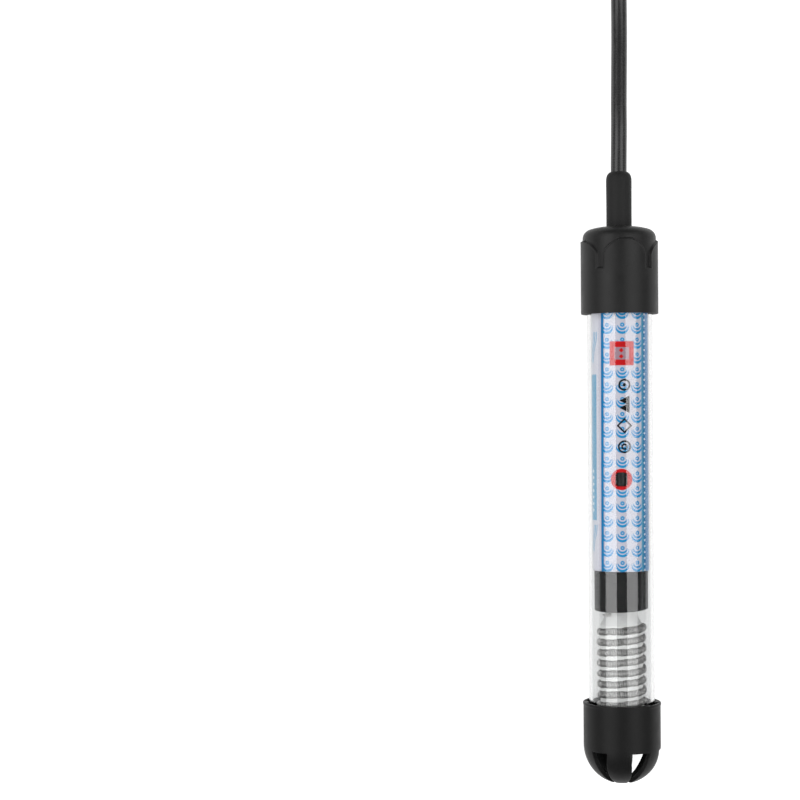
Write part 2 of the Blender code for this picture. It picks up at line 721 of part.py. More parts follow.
def plug():
    """A flat two-pin plug with a tapered boot, lying on its side past the hank."""
    start = PLUG_BOOT_START - BODY_MIDDLE
    body_start = start + PLUG_BOOT_LENGTH + CLEARANCE
    face = body_start + PLUG_BODY_LENGTH
    height = PLUG_THICKNESS / 2
    root_r = 0.0056
    tip_r = 0.0041
    profile = [(0, PLUG_BOOT_LENGTH), (root_r, PLUG_BOOT_LENGTH), (tip_r, 0.0006)]
    profile += [(tip_r - 0.0005, 0), (0, 0)]
    boot = turned("plug_boot", profile, BLACK_RUBBER, closed=False, steps=20, on_axis=False)
    boot.location = (0, start, height)
    boot.rotation_euler = (math.radians(-90), 0, 0)
    body = block(
        "plug_body",
        (-PLUG_WIDTH / 2, body_start, 0),
        (PLUG_WIDTH / 2, face, PLUG_THICKNESS),
        BLACK_RUBBER,
        on_axis=False,
    )
    neck_width = 0.62
    neck_thickness = 0.78
    for corner in body.data.vertices:
        if corner.co.y < 0:
            corner.co.x *= neck_width
            corner.co.z *= neck_thickness
    bevel(body, 0.0020, segments=3)
    for side, sign in (("left", -1), ("right", 1)):
        centre = sign * PIN_SPACING / 2
        half = PIN_THICKNESS / 2
        low = Vector((centre - half, face - PIN_ROOT, height - PIN_WIDTH / 2))
        high = Vector((centre + half, face + PIN_REACH, height + PIN_WIDTH / 2))
        pin = block(f"plug_pin_{side}", low, high, BRASS, on_axis=False)
        bevel(pin, 0.0004, segments=1)
        gap = Vector((CLEARANCE, CLEARANCE, CLEARANCE))
        socket = block(f"pin_socket_{side}", low - gap, high + gap, BLACK_RUBBER, on_axis=False)
        combine(body, socket)


glass_tube()
bottom_guard()
top_cap()
cord_entry()
double_seal()
sleeves()
heating_element()
chassis()
bimetal()
contact_blade()
electrical_parts()
wires()
cord()
cord_hank()
cord_tie()
plug()
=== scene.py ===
"""Looks of the submersible aquarium heater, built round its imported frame.

Metres, +Z up. The heater lies along +Y with its printed front up. Its pieces are made in the
heater's own coordinates: x across, -y towards the front and z along the axis from the point
under the guard's dome. LAY carries them into the frame.
"""

import math

import bmesh
import bpy
from mathutils import Matrix, Vector


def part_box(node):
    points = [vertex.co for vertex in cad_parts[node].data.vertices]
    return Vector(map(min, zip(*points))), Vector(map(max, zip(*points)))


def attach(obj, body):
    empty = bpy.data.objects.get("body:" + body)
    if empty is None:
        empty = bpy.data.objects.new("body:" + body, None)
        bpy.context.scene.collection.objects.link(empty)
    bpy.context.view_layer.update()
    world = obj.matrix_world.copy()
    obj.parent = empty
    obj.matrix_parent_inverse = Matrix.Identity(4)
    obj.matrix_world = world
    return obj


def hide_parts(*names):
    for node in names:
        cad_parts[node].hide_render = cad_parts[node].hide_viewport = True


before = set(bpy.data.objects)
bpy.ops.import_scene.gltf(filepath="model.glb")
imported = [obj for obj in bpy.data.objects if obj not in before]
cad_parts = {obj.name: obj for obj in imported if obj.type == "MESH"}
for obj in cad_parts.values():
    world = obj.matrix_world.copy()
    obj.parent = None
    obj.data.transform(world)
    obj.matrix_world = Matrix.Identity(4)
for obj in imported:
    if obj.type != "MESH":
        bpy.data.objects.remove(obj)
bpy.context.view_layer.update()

BODY = "heater"

# Sizes, as in the frame but for the guard's slots, pockets and inner dome
OUTER_R = (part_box("top_cap")[1].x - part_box("top_cap")[0].x) / 2
BOOT_TOP = 0.2199
ZERO_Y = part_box("cord_boot")[1].y - BOOT_TOP
LAY = Matrix(((1, 0, 0, 0), (0, 0, 1, ZERO_Y), (0, -1, 0, OUTER_R), (0, 0, 0, 1)))

GLASS_R = 0.01175
GLASS_WALL = 0.0011
GLASS_BOTTOM = 0.0120
GLASS_TOP = 0.1920
LABEL_R = 0.0103
LABEL_BOTTOM = 0.0767
LABEL_TOP = 0.1765
SHIELD_R = 0.0096
SHIELD_WALL = 0.0007
SHIELD_BOTTOM = 0.0628
FORMER_R = 0.00585
FORMER_BORE = 0.0022
FORMER_BOTTOM = 0.0158
FORMER_TOP = 0.0726
COIL_R = 0.0090
COIL_ROLL_R = 0.001375
COIL_PITCH = 0.00376
COIL_BOTTOM = 0.0199
COIL_TOP = 0.05615
COIL_END_ANGLE = math.radians(80)
CRIMP_ANGLE = math.radians(-48)
CAP_BOTTOM = 0.1687
CAP_TOP = 0.2000
CAP_BASE_R = 0.01315
GROOVES_DEG = (-36.0, 42.0, 144.0, 222.0)
GROOVE_BOTTOM = 0.1849
GROOVE_HALF_WIDTH = 0.0012
ARCH_SPRING = 0.1891
ARCH_TOP = 0.1950
GUARD_RIM = 0.0291
GUARD_DOME_R = 0.0133
GUARD_INNER_DOME_R = 0.0118
GUARD_FLAT_R = 0.0045
GUARD_HOLE_R = 0.0026
SLOTS_DEG = (-43.5, 22.0, 81.0, 144.2, 190.0, 252.5)
SLOT_HALF_WIDTHS = (0.0033, 0.0040, 0.0035, 0.0035, 0.0035, 0.0035)
SLOT_TOP = 0.0124
SLOT_FOOT_HALF_WIDTH = 0.00025
POCKETS_DEG = (62, 118, 242, 298)
POCKET_WIDTH = 0.0080
POCKET_R = 0.0128
POCKET_BOTTOM = 0.0202
BOOT_R = 0.0046
CORD_R = 0.0029
LAMP_MIDDLE = 0.1096

HANK_MIDDLE = 0.3610
HANK_HALF_RUN = 0.0490
FOLD_R = 0.0174
WAIST = 0.0032
HANK_FLOOR = 0.0009
HANK_LAYERS = 4


# Camera and light

CAMERA_X = -0.0794
CAMERA_Y = 0.02795
CAMERA_HEIGHT = 0.667
CAMERA_LENS = 83.2
CAMERA_ROLL_DEG = -0.35


def placed(name, data):
    """A new object in the scene."""
    made = bpy.data.objects.new(name, data)
    bpy.context.scene.collection.objects.link(made)
    return made


def camera():
    """Looks straight down at the lying heater, which is right of the picture's middle."""
    data = bpy.data.cameras.new("camera")
    data.lens = CAMERA_LENS
    data.sensor_width = 36
    made = placed("camera", data)
    made.location = (CAMERA_X, CAMERA_Y, OUTER_R + CAMERA_HEIGHT)
    made.rotation_euler = (0, 0, math.radians(CAMERA_ROLL_DEG))
    bpy.context.scene.camera = made


def softbox(name, tilt_deg, distance, width, length, radiance):
    """A long soft light beside the camera, tilted about the heater's axis from straight above."""
    data = bpy.data.lights.new(name, "AREA")
    data.shape = "RECTANGLE"
    data.size = width
    data.size_y = length
    data.energy = radiance * math.pi * width * length
    made = placed(name, data)
    tilt = math.radians(tilt_deg)
    made.location = (distance * math.sin(tilt), CAMERA_Y, OUTER_R + distance * math.cos(tilt))
    made.rotation_euler = (0, tilt, 0)
    made.visible_camera = False


def light():
    """Two long softboxes, a weak low one, and a pale surround."""
    distance = 1.0
    length = 1.4
    for name, tilt, spread, radiance in (
        ("softbox_left", -43.1, 40.8, 3.3),
        ("softbox_right", 33.7, 39.8, 3.05),
        ("softbox_low", 73.5, 9.0, 0.5),
    ):
        width = 2 * distance * math.tan(math.radians(spread / 2))
        softbox(name, tilt, distance, width, length, radiance)
    world = bpy.data.worlds.new("studio")
    world.use_nodes = True
    background = world.node_tree.nodes["Background"]
    background.inputs["Color"].default_value = (0.96, 0.97, 1.0, 1)
    background.inputs["Strength"].default_value = 0.1
    bpy.context.scene.world = world
    bpy.context.scene.view_settings.view_transform = "Standard"


# Materials


class Graph:
    """A material's node tree, with short calls for the nodes that the surfaces use."""

    def __init__(self, name):
        self.material = bpy.data.materials.new(name)
        self.material.use_nodes = True
        self.tree = self.material.node_tree
        self.shader = self.tree.nodes["Principled BSDF"]

    def node(self, kind, **settings):
        made = self.tree.nodes.new(kind)
        for key, value in settings.items():
            setattr(made, key, value)
        return made

    def give(self, socket, value):
        """Links a socket's value, or sets a plain one."""
        if isinstance(value, bpy.types.NodeSocket):
            self.tree.links.new(value, socket)
        else:
            socket.default_value = value

    def calc(self, operation, *values):
        made = self.node("ShaderNodeMath", operation=operation)
        for socket, value in zip(made.inputs, values):
            self.give(socket, value)
        return made.outputs[0]

    def mix(self, share, first, second):
        made = self.node("ShaderNodeMix", data_type="RGBA")
        self.give(made.inputs["Factor"], share)
        self.give(made.inputs["A"], first)
        self.give(made.inputs["B"], second)
        return made.outputs["Result"]

    def place(self, kind="Object"):
        return self.node("ShaderNodeTexCoord").outputs[kind]

    def stretched(self, scale):
        made = self.node("ShaderNodeMapping")
        self.give(made.inputs["Vector"], self.place())
        made.inputs["Scale"].default_value = scale
        return made.outputs[0]

    def noise(self, scale, detail=3.0, roughness=0.5, where=None):
        made = self.node("ShaderNodeTexNoise")
        self.give(made.inputs["Vector"], where or self.place())
        made.inputs["Scale"].default_value = scale
        made.inputs["Detail"].default_value = detail
        made.inputs["Roughness"].default_value = roughness
        return made.outputs["Fac"]

    def range(self, value, low, high, to_low, to_high):
        made = self.node("ShaderNodeMapRange")
        for socket, given in zip(made.inputs, (value, low, high, to_low, to_high)):
            self.give(socket, given)
        return made.outputs[0]

    def bump(self, height, distance, strength=1.0, normal=None):
        made = self.node("ShaderNodeBump")
        self.give(made.inputs["Height"], height)
        made.inputs["Distance"].default_value = distance
        made.inputs["Strength"].default_value = strength
        if normal is not None:
            self.give(made.inputs["Normal"], normal)
        return made.outputs[0]

    def surface(self, **inputs):
        for key, value in inputs.items():
            self.give(self.shader.inputs[key.replace("_", " ")], value)


def grey(value):
    return (value, value, value, 1)


def glass():
    """Clear tube glass that lets lamps through, with a faint drawn waviness."""
    g = Graph("clear_glass")
    waves = g.noise(1.0, 1.0, where=g.stretched((260, 30, 260)))
    g.surface(
        Base_Color=(0.75, 0.755, 0.755, 1),
        Roughness=0.0,
        IOR=1.47,
        Transmission_Weight=1.0,
        Normal=g.bump(waves, 0.000004),
    )
    clear = g.node("ShaderNodeBsdfTransparent")
    clear.inputs["Color"].default_value = (0.93, 0.94, 0.94, 1)
    mixer = g.node("ShaderNodeMixShader")
    g.give(mixer.inputs["Fac"], g.node("ShaderNodeLightPath").outputs["Is Shadow Ray"])
    g.give(mixer.inputs[1], g.shader.outputs[0])
    g.give(mixer.inputs[2], clear.outputs[0])
    g.give(g.tree.nodes["Material Output"].inputs["Surface"], mixer.outputs[0])
    return g.material


def moulded(name, dark, light_tone, roughness, grain=0.000012, gloss=0.3):
    """Satin moulded black: a fine spark-eroded grain, cloudy tone and uneven gloss."""
    g = Graph(name)
    cloud = g.noise(160.0, 4.0, 0.6)
    speck = g.noise(5200.0, 2.0, 0.7)
    base = g.mix(cloud, grey(dark), grey(light_tone))
    tone = g.mix(g.range(speck, 0.62, 0.75, 0.0, 0.45), base, grey(0.05))
    rough = g.range(cloud, 0.3, 0.7, roughness - 0.05, roughness + 0.06)
    normal = g.bump(g.noise(3000.0, 3.0, 0.6), grain)
    g.surface(Base_Color=tone, Roughness=rough, Normal=normal, Specular_IOR_Level=gloss)
    return g.material


def cord_skin():
    """Smooth extruded black with long faint flow lines."""
    g = Graph("cord_skin")
    flow = g.noise(1.0, 2.0, 0.5, where=g.stretched((900, 35, 900)))
    fine = g.noise(2600.0, 2.0, 0.6)
    g.surface(
        Base_Color=g.mix(flow, grey(0.012), grey(0.024)),
        Roughness=g.range(fine, 0.3, 0.7, 0.22, 0.34),
        Specular_IOR_Level=0.35,
        Normal=g.bump(fine, 0.000006, normal=g.bump(flow, 0.00008)),
    )
    return g.material


def winding():
    """Grey resistance wire, dulled unevenly by oxide."""
    g = Graph("resistance_wire")
    patch = g.noise(900.0, 3.0, 0.6)
    tone = g.mix(g.range(patch, 0.35, 0.65, 0.0, 1.0), grey(0.16), (0.52, 0.51, 0.50, 1))
    g.surface(
        Base_Color=tone,
        Metallic=0.85,
        Roughness=g.range(patch, 0.3, 0.7, 0.45, 0.25),
        Normal=g.bump(g.noise(5000.0, 2.0), 0.00001),
    )
    return g.material


def fired_white(name="fired_ceramic"):
    """Unglazed ceramic with faint pores: pale on the thread, greyer on the neck above it."""
    g = Graph(name)
    pores = g.noise(2400.0, 3.0, 0.7)
    along = g.node("ShaderNodeSeparateXYZ")
    g.give(along.inputs[0], g.place())
    neck = g.range(along.outputs[1], COIL_TOP + ZERO_Y - 0.001, COIL_TOP + ZERO_Y + 0.003, 0.0, 1.0)
    pale = g.mix(g.noise(300.0), (0.58, 0.58, 0.57, 1), (0.68, 0.68, 0.67, 1))
    grey_neck = g.mix(g.noise(500.0, 4.0, 0.6), grey(0.42), grey(0.55))
    g.surface(Base_Color=g.mix(neck, pale, grey_neck), Roughness=0.5, Normal=g.bump(pores, 0.00002))
    return g.material


def metal(name, dark, bright, roughness, scale=700.0):
    """A drawn or pressed metal with fine lines and patchy gloss."""
    g = Graph(name)
    lines = g.noise(1.0, 3.0, 0.6, where=g.stretched((scale * 6, scale, scale * 6)))
    g.surface(
        Base_Color=g.mix(lines, dark, bright),
        Metallic=1.0,
        Roughness=g.range(lines, 0.3, 0.7, roughness, roughness + 0.12),
        Normal=g.bump(lines, 0.000008),
    )
    return g.material


def plain(name, first, second, roughness, scale=900.0, grain=0.00001, gloss=0.5):
    """A mottled non-metal in two close tones, with a fine grain."""
    g = Graph(name)
    mottle = g.noise(scale, 4.0, 0.6)
    g.surface(
        Base_Color=g.mix(mottle, first, second),
        Roughness=g.range(mottle, 0.3, 0.7, roughness - 0.05, roughness + 0.05),
        Specular_IOR_Level=gloss,
        Normal=g.bump(mottle, grain),
    )
    return g.material


class Print(Graph):
    """The label's print, drawn in millimetres: u round the sleeve from its front, v along it."""

    BASE = (0.475, 0.47, 0.53, 1)
    BLUE = (0.012, 0.235, 0.50, 1)
    DEEP_BLUE = (0.008, 0.15, 0.36, 1)
    RED = (0.48, 0.003, 0.005, 1)
    BLACK = grey(0.004)
    PALE = (0.30, 0.20, 0.24, 1)
    EDGE = 0.05
    TWIST = 0.0045  # the film is rolled slightly askew

    def __init__(self, name):
        super().__init__(name)
        parts = self.node("ShaderNodeSeparateXYZ")
        self.give(parts.inputs[0], self.place("UV"))
        self.v = self.calc("MULTIPLY", parts.outputs[1], 1000.0)
        level = self.calc("MULTIPLY", parts.outputs[0], 1000.0)
        twist = self.calc("MULTIPLY", self.less(self.v, 115.0), self.TWIST)
        self.u = self.less(level, twist)

    def less(self, value, taken):
        return self.calc("SUBTRACT", value, taken)

    def within(self, value, limit):
        """1 where value is under limit, with an edge as soft as ink."""
        return self.range(value, limit + self.EDGE, limit - self.EDGE, 0.0, 1.0)

    def off(self, value, middle):
        return self.calc("ABSOLUTE", self.less(value, middle))

    def box(self, middle_u, middle_v, half_u, half_v):
        across = self.off(self.u, middle_u)
        return self.both(self.within(across, half_u), self.within(self.off(self.v, middle_v), half_v))

    def distance(self, across, along):
        squares = self.calc("ADD", self.calc("POWER", across, 2.0), self.calc("POWER", along, 2.0))
        return self.calc("SQRT", squares)

    def from_point(self, middle_u, middle_v):
        return self.distance(self.less(self.u, middle_u), self.less(self.v, middle_v))

    def disc(self, middle_u, middle_v, radius):
        return self.within(self.from_point(middle_u, middle_v), radius)

    def hoop(self, middle_u, middle_v, radius, half_line):
        return self.within(self.off(self.from_point(middle_u, middle_v), radius), half_line)

    def fold(self, operation, shares):
        total = shares[0]
        for share in shares[1:]:
            total = self.calc(operation, total, share)
        return total

    def either(self, *shares):
        return self.fold("MAXIMUM", shares)

    def both(self, *shares):
        return self.fold("MULTIPLY", shares)

    def repeat(self, value, period, phase):
        """Distance from the middle of the repeat that value falls in."""
        moved = self.less(value, phase)
        return self.less(self.calc("FLOORED_MODULO", moved, period), period / 2)

    def crescent(self, across, along, radius, rise, inner):
        """A smile-shaped crescent: inside one circle and outside a higher one."""
        outer = self.within(self.distance(across, self.less(along, radius)), radius)
        hollow = self.within(self.distance(across, self.less(along, radius + rise)), inner)
        return self.both(outer, self.less(1.0, hollow))

    def ripples(self):
        """Columns of two ripples under a bubble, over the middle of the label."""
        spacing, period = 5.5, 5.29
        first = -6.05 - spacing / 2
        columns = self.within(self.off(self.u, first + 1.5 * spacing), 1.5 * spacing)
        across = self.repeat(self.u, spacing, first)
        along = self.repeat(self.v, period, 1.875)
        lower = self.crescent(across, self.calc("ADD", along, 1.95), 2.3, 0.7, 2.1)
        upper = self.crescent(across, self.calc("ADD", along, 0.65), 1.75, 0.6, 1.6)
        under = self.within(along, 1.15)
        level = self.less(along, 1.35)
        bubble = self.within(self.off(self.distance(across, level), 0.5), 0.26)
        return self.both(self.either(self.both(self.either(lower, upper), under), bubble), columns)

    def arrow(self, middle_u, middle_v, half):
        """A solid triangle that points to the left."""
        reach = self.less(self.u, middle_u - half)
        past = self.less(self.off(self.v, middle_v), self.calc("MULTIPLY", reach, 0.5))
        return self.both(self.within(past, 0.0), self.within(self.u, middle_u + half))

    def signs(self):
        """A column of plain black marks: rings, arrows and a diamond."""
        middle = 0.2
        ring = self.either(self.hoop(middle, 143.2, 1.8, 0.34), self.disc(middle, 143.2, 0.6))
        arrows = self.either(self.arrow(middle, 137.6, 1.8), self.arrow(middle, 135.0, 1.8))
        slant = self.calc("ADD", self.off(self.u, middle), self.off(self.v, 128.7))
        diamond = self.within(self.off(slant, 2.35), 0.42)
        double = self.either(self.hoop(middle, 121.2, 2.0, 0.3), self.hoop(middle, 121.2, 0.85, 0.3))
        return self.either(ring, arrows, diamond, double)

    def panel(self, middle_u, middle_v):
        """Two small red diamonds on the red square's pale panel."""
        marks = []
        for side in (-1.1, 1.1):
            slant = self.calc("ADD", self.off(self.u, middle_u), self.off(self.v, middle_v + side))
            marks.append(self.within(slant, 0.85))
        return self.either(*marks)

    def dotted(self, middle, first, last, period, radius):
        """A line of dots along the label."""
        along = self.repeat(self.v, period, first)
        dots = self.within(self.distance(self.less(self.u, middle), along), radius)
        return self.both(dots, self.within(self.off(self.v, (first + last) / 2), (last - first) / 2))

    def swash(self, middle, centre, half_length):
        """Two thin waves that lean together."""
        wave = self.calc("SINE", self.calc("MULTIPLY", self.less(self.v, centre), 0.42))
        lean = self.calc("MULTIPLY", self.less(self.v, centre), 0.12)
        place = self.calc("ADD", middle, self.calc("ADD", lean, self.calc("MULTIPLY", wave, 0.5)))
        near = self.off(self.u, place)
        lines = self.either(self.within(near, 0.3), self.within(self.off(near, 1.0), 0.2))
        return self.both(lines, self.within(self.off(self.v, centre), half_length))


def label_print():
    """Pale film with blue columns, a dotted band, a red panel, black marks and a red lamp ring."""
    p = Print("label_print")
    speck = p.noise(2600.0, 2.0, 0.7)
    colour = p.mix(speck, p.BASE, (0.52, 0.515, 0.575, 1))
    layers = (
        (p.ripples(), p.BLUE),
        (p.box(-7.95, 126.0, 0.55, 60.0), p.DEEP_BLUE),
        (p.box(9.2, 126.0, 2.2, 60.0), p.DEEP_BLUE),
        (p.box(7.3, 126.0, 0.5, 60.0), (0.06, 0.27, 0.43, 1)),
        (p.dotted(8.4, 69.74, 180.0, 2.12, 0.38), grey(0.7)),
        (p.box(-13.9, 120.9, 3.1, 26.1), (0.05, 0.25, 0.41, 1)),
        (p.dotted(-12.9, 97.2, 113.4, 2.33, 0.5), grey(0.75)),
        (p.either(p.swash(-12.6, 156.7, 5.5), p.swash(-12.6, 88.4, 4.8)), (0.05, 0.27, 0.45, 1)),
        (p.box(-0.7, 154.4, 4.28, 4.28), p.RED),
        (p.box(-0.7, 154.4, 2.6, 2.2), p.PALE),
        (p.panel(-0.9, 154.4), p.RED),
        (p.signs(), p.BLACK),
        (p.disc(-0.83, 109.6, 3.8), p.RED),
    )
    for share, ink in layers:
        colour = p.mix(share, colour, ink)
    p.surface(Base_Color=colour, Roughness=0.3, Specular_IOR_Level=0.12, Normal=p.bump(speck, 0.000003))
    return p.material


# Shapes


def link(name, mesh, surface, stands_for=(), body=BODY):
    """A new piece of the object that rides on a body."""
    made = placed(name, mesh)
    mesh.materials.clear()
    mesh.materials.append(surface)
    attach(made, body)
    if stands_for:
        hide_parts(*stands_for)
    return made


def rounded(corners, steps=5):
    """A closed profile with its corners rounded. A corner is (radius, height, rounding)."""
    points = []
    count = len(corners)
    for i, (across, along, size) in enumerate(corners):
        corner = Vector((across, along))
        if size == 0:
            points.append(corner)
            continue
        before = Vector(corners[i - 1][:2]) - corner
        after = Vector(corners[(i + 1) % count][:2]) - corner
        start = corner + before.normalized() * min(size, before.length * 0.45)
        end = corner + after.normalized() * min(size, after.length * 0.45)
        for k in range(steps + 1):
            t = k / steps
            points.append(start * (1 - t) ** 2 + corner * 2 * t * (1 - t) + end * t**2)
    return [tuple(point) for point in points]


def arc(centre, radius, start_deg, end_deg, steps):
    """Points on a circle about the axis's point at centre; 0 degrees is straight down."""
    angles = [math.radians(start_deg + (end_deg - start_deg) * i / steps) for i in range(steps + 1)]
    return [(radius * math.sin(a), centre - radius * math.cos(a)) for a in angles]


def smooth_curve(points, spacing):
    """Points about spacing apart on a smooth curve through the given ones."""
    given = [Vector(p) for p in points]
    ends = [2 * given[0] - given[1]] + given + [2 * given[-1] - given[-2]]
    fine = []
    for before, start, end, after in zip(ends, ends[1:], ends[2:], ends[3:]):
        steps = max(1, round((end - start).length / spacing))
        for i in range(steps):
            t = i / steps
            straight = 2 * start + (end - before) * t
            square = (2 * before - 5 * start + 4 * end - after) * t**2
            cube = (3 * start - before - 3 * end + after) * t**3
            fine.append((straight + square + cube) / 2)
    fine.append(given[-1])
    return fine


def finished(name, shape, outward=False, smoothed=False):
    """The mesh of a bmesh, which is freed."""
    if outward:
        bmesh.ops.recalc_face_normals(shape, faces=shape.faces)
    mesh = bpy.data.meshes.new(name)
    shape.to_mesh(mesh)
    shape.free()
    if smoothed:
        mesh.shade_smooth()
    return mesh


def strip(shape, first, second):
    """Faces all round between two loops of corners."""
    for i in range(len(first)):
        k = (i + 1) % len(first)
        shape.faces.new((first[i], first[k], second[k], second[i]))


def lathe(name, profile, steps=144, relief=None):
    """A profile of (radius, height) turned about the axis. Points on the axis close it.

    relief(angle, radius, height) is added to the radius; angle 0 is the front."""
    shape = bmesh.new()
    rings = []
    for radius, height in profile:
        if radius < 1e-7:
            rings.append([shape.verts.new((0, 0, height))])
            continue
        ring = []
        for i in range(steps):
            angle = math.tau * i / steps
            own = radius + (relief(angle, radius, height) if relief else 0)
            ring.append(shape.verts.new((own * math.sin(angle), -own * math.cos(angle), height)))
        rings.append(ring)
    pairs = list(zip(rings, rings[1:]))
    if len(rings[0]) > 1 and len(rings[-1]) > 1:
        pairs.append((rings[-1], rings[0]))
    for first, second in pairs:
        for i in range(steps):
            k = (i + 1) % steps
            if len(first) == 1:
                shape.faces.new((first[0], second[i], second[k]))
            elif len(second) == 1:
                shape.faces.new((first[i], first[k], second[0]))
            else:
                shape.faces.new((first[i], first[k], second[k], second[i]))
    return finished(name, shape, outward=True, smoothed=True)


def along_y(mesh, foot):
    """Lays a turned piece along +Y, with its foot at a point of the frame."""
    mesh.transform(Matrix.Rotation(math.radians(-90), 4, "X"))
    mesh.transform(Matrix.Translation(foot))
    return mesh


def laid(mesh):
    """Carries a mesh from the heater's own coordinates into the frame."""
    mesh.transform(LAY)
    return mesh


def box_mesh(name, low, high):
    """A plain box, for cutting."""
    shape = bmesh.new()
    bmesh.ops.create_cube(shape, size=1)
    for corner in shape.verts:
        corner.co = [a + (b - a) * (c + 0.5) for a, b, c in zip(low, high, corner.co)]
    return finished(name, shape)


def settle(made, drop):
    """The mesh that an object's modifiers make. The object and the ones in drop are removed."""
    graph = bpy.context.evaluated_depsgraph_get()
    mesh = bpy.data.meshes.new_from_object(made.evaluated_get(graph))
    for gone in [made, *drop]:
        bpy.data.objects.remove(gone)
    return mesh


def cut_and_soften(mesh, cutters, voxel, passes):
    """Cuts one mesh with others, then rounds every edge a little, as a mould does."""
    made = placed("scratch", mesh)
    tools = [placed("scratch", cutter) for cutter in cutters]
    for tool in tools:
        step = made.modifiers.new("cut", "BOOLEAN")
        step.object = tool
        step.solver = "EXACT"
    grid = made.modifiers.new("grid", "REMESH")
    grid.mode = "VOXEL"
    grid.voxel_size = voxel
    soften = made.modifiers.new("soften", "SMOOTH")
    soften.factor = 0.5
    soften.iterations = passes
    result = settle(made, tools)
    result.shade_smooth()
    return result


def tube_curve(name, points, radius, resolution=6):
    """A round wire or cord along points."""
    curve = bpy.data.curves.new(name, "CURVE")
    curve.dimensions = "3D"
    curve.bevel_depth = radius
    curve.bevel_resolution = resolution
    curve.use_fill_caps = True
    line = curve.splines.new("POLY")
    line.points.add(len(points) - 1)
    for point, place in zip(line.points, points):
        point.co = (*place, 1)
    line.use_smooth = True
    return curve


# The cord and its plug


def run_offset(along):
    """Half the distance between the hank's two bundles, at a distance from its middle."""
    share = (1 - math.cos(math.pi * abs(along) / HANK_HALF_RUN)) / 2
    return WAIST + (FOLD_R - WAIST) * share


def hank_route():
    """The folded part of the cord: three full turns, each a layer above the last."""
    layer = 2 * CORD_R
    low = HANK_FLOOR + CORD_R
    rise_start, rise_end = 0.035, 0.014
    step = 0.0035
    fold_steps = 18
    run_steps = round(2 * HANK_HALF_RUN / step)
    half_steps = run_steps // 2
    points = []

    def right_run(level, first, last):
        for i in range(first, last):
            along = HANK_HALF_RUN * (i / half_steps - 1)
            points.append((run_offset(along), HANK_MIDDLE + along, level))

    right_run(low, half_steps, 2 * half_steps)
    for turn in range(HANK_LAYERS - 1):
        level = low + layer * turn
        for i in range(fold_steps):
            angle = math.pi * i / fold_steps
            far = HANK_MIDDLE + HANK_HALF_RUN + FOLD_R * math.sin(angle)
            points.append((FOLD_R * math.cos(angle), far, level))
        fold_length = math.pi * FOLD_R
        for i in range(2 * half_steps):
            along = HANK_HALF_RUN * (1 - i / half_steps)
            share = (rise_start - HANK_HALF_RUN - along) / (rise_start + rise_end)
            lift = layer * smooth(share)
            points.append((-run_offset(along), HANK_MIDDLE + along, level + lift))
        for i in range(fold_steps):
            angle = math.pi * i / fold_steps
            near = HANK_MIDDLE - HANK_HALF_RUN - FOLD_R * math.sin(angle)
            share = (rise_start + fold_length * i / fold_steps) / (rise_start + rise_end)
            points.append((-FOLD_R * math.cos(angle), near, level + layer * smooth(share)))
        last = half_steps if turn == HANK_LAYERS - 2 else 2 * half_steps
        right_run(level + layer, 0, last)
    return points


def smooth(share):
    """0 to 1 with level ends."""
    share = min(1.0, max(0.0, share))
    return share * share * (3 - 2 * share)


def cord():
    """The mains cord: out of the boot, down to the floor, folded into its hank, then the plug."""
    lead = [
        (0, BOOT_TOP - 0.0020, OUTER_R),
        (0, 0.2220, OUTER_R),
        (0.0001, 0.2280, 0.01385),
        (0.0003, 0.2360, 0.0130),
        (0.0005, 0.2440, 0.0114),
        (0.0008, 0.2520, 0.0095),
        (0.0011, 0.2600, 0.0077),
        (0.0014, 0.2680, 0.0059),
        (0.0016, 0.2760, 0.0044),
        (0.0017, 0.2840, 0.0034),
        (0.0017, 0.2920, 0.0031),
        (0.0018, 0.3100, 0.0036),
        (0.0020, 0.3300, 0.0038),
        (0.0026, 0.3480, 0.0038),
    ]
    tail = [
        (0.0032, 0.3610, 0.0212),
        (0.0024, 0.3740, 0.0212),
        (0.0008, 0.3900, 0.0212),
        (0, 0.4060, 0.0212),
        (0, 0.4200, 0.0212),
        (0, 0.4309, 0.0210),
        (0, 0.4380, 0.0201),
        (0, 0.4440, 0.0179),
        (0, 0.4500, 0.0149),
        (0, 0.4560, 0.0120),
        (0, 0.4620, 0.0096),
        (0, 0.4680, 0.0084),
        (0, 0.4780, 0.0080),
    ]
    route = [(x, along + ZERO_Y, z) for x, along, z in lead + hank_route() + tail]
    flex = link(
        "cord_flex",
        tube_curve("cord_flex", smooth_curve(route, 0.0022), CORD_R),
        cord_skin(),
        ("power_cord", "cord_hank", "cord_tail"),
    )
    return flex


def superellipse(half_width, half_height, power, steps):
    """Points round a rounded rectangle."""
    points = []
    for i in range(steps):
        angle = math.tau * i / steps
        c, s = math.cos(angle), math.sin(angle)
        across = math.copysign(abs(c) ** (2 / power), c)
        along = math.copysign(abs(s) ** (2 / power), s)
        points.append((half_width * across, half_height * along))
    return points


def loft(name, sections, steps=64):
    """A closed shell through rounded rectangles. A section is (y, half width, half height, power, z)."""
    shape = bmesh.new()
    rings = []
    for y, half_width, half_height, power, z in sections:
        outline = superellipse(half_width, half_height, power, steps)
        rings.append([shape.verts.new((x, y, z + h)) for x, h in outline])
    for first, second in zip(rings, rings[1:]):
        strip(shape, first, second)
    shape.faces.new(rings[0])
    shape.faces.new(rings[-1])
    return finished(name, shape, outward=True, smoothed=True)


